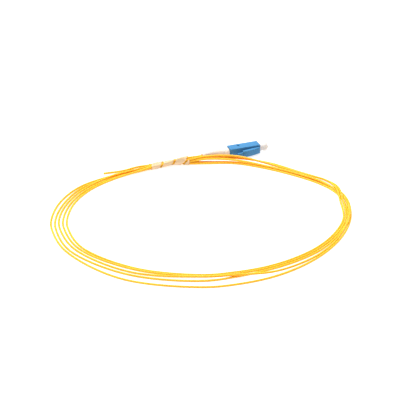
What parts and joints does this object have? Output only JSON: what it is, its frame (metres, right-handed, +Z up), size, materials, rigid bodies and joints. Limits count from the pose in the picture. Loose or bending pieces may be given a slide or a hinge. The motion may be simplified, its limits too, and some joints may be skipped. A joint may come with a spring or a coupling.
{
  "type": "fibre optic pigtail",
  "caption": "Yellow buffered fibre wound in a loose coil, tied by a spiral wrap, with a small capped push-pull plug on one end and a bare cut end on the other.",
  "frame": {"origin": "centre of the bounding box's underside, on the surface that the coil lies on", "axes": "+Z is up, through the coil. +Y points from the coil's middle to the side where the wrap and the plug are."},
  "size_m": [0.125, 0.1278, 0.0045],
  "materials": {
    "fibre_buffer": "satin yellow",
    "wrap_plastic": "milky, lets light through",
    "housing_plastic": "moulded blue",
    "latch_plastic": "moulded blue",
    "ferrule_ceramic": "polished",
    "flange_metal": "nickel plated",
    "spring_steel": "bright wire",
    "post_metal": "nickel plated",
    "boot_rubber": "matt white",
    "cap_plastic": "soft white"
  },
  "bodies": {
    "pigtail": {"fibre": "fibre_buffer", "spiral_wrap": "wrap_plastic", "connector_housing": "housing_plastic", "ferrule": "ferrule_ceramic", "ferrule_flange": "flange_metal", "spring": "spring_steel", "back_post": "post_metal", "boot": "boot_rubber"},
    "latch": {"latch_arm": "latch_plastic"},
    "cap": {"dust_cap": "cap_plastic"}
  },
  "joints": [
    {"name": "latch_press", "type": "hinge", "parent": "pigtail", "child": "latch", "pos_m": [0.02516, 0.05823, 0.00225], "axis": [0, 0, -1], "range_deg": [0, 6], "stiffness_Nm_per_rad": 0.05},
    {"name": "cap_pull", "type": "slide", "parent": "pigtail", "child": "cap", "axis": [0.9336, 0.3584, 0], "range_m": [0, 0.008]}
  ]
}
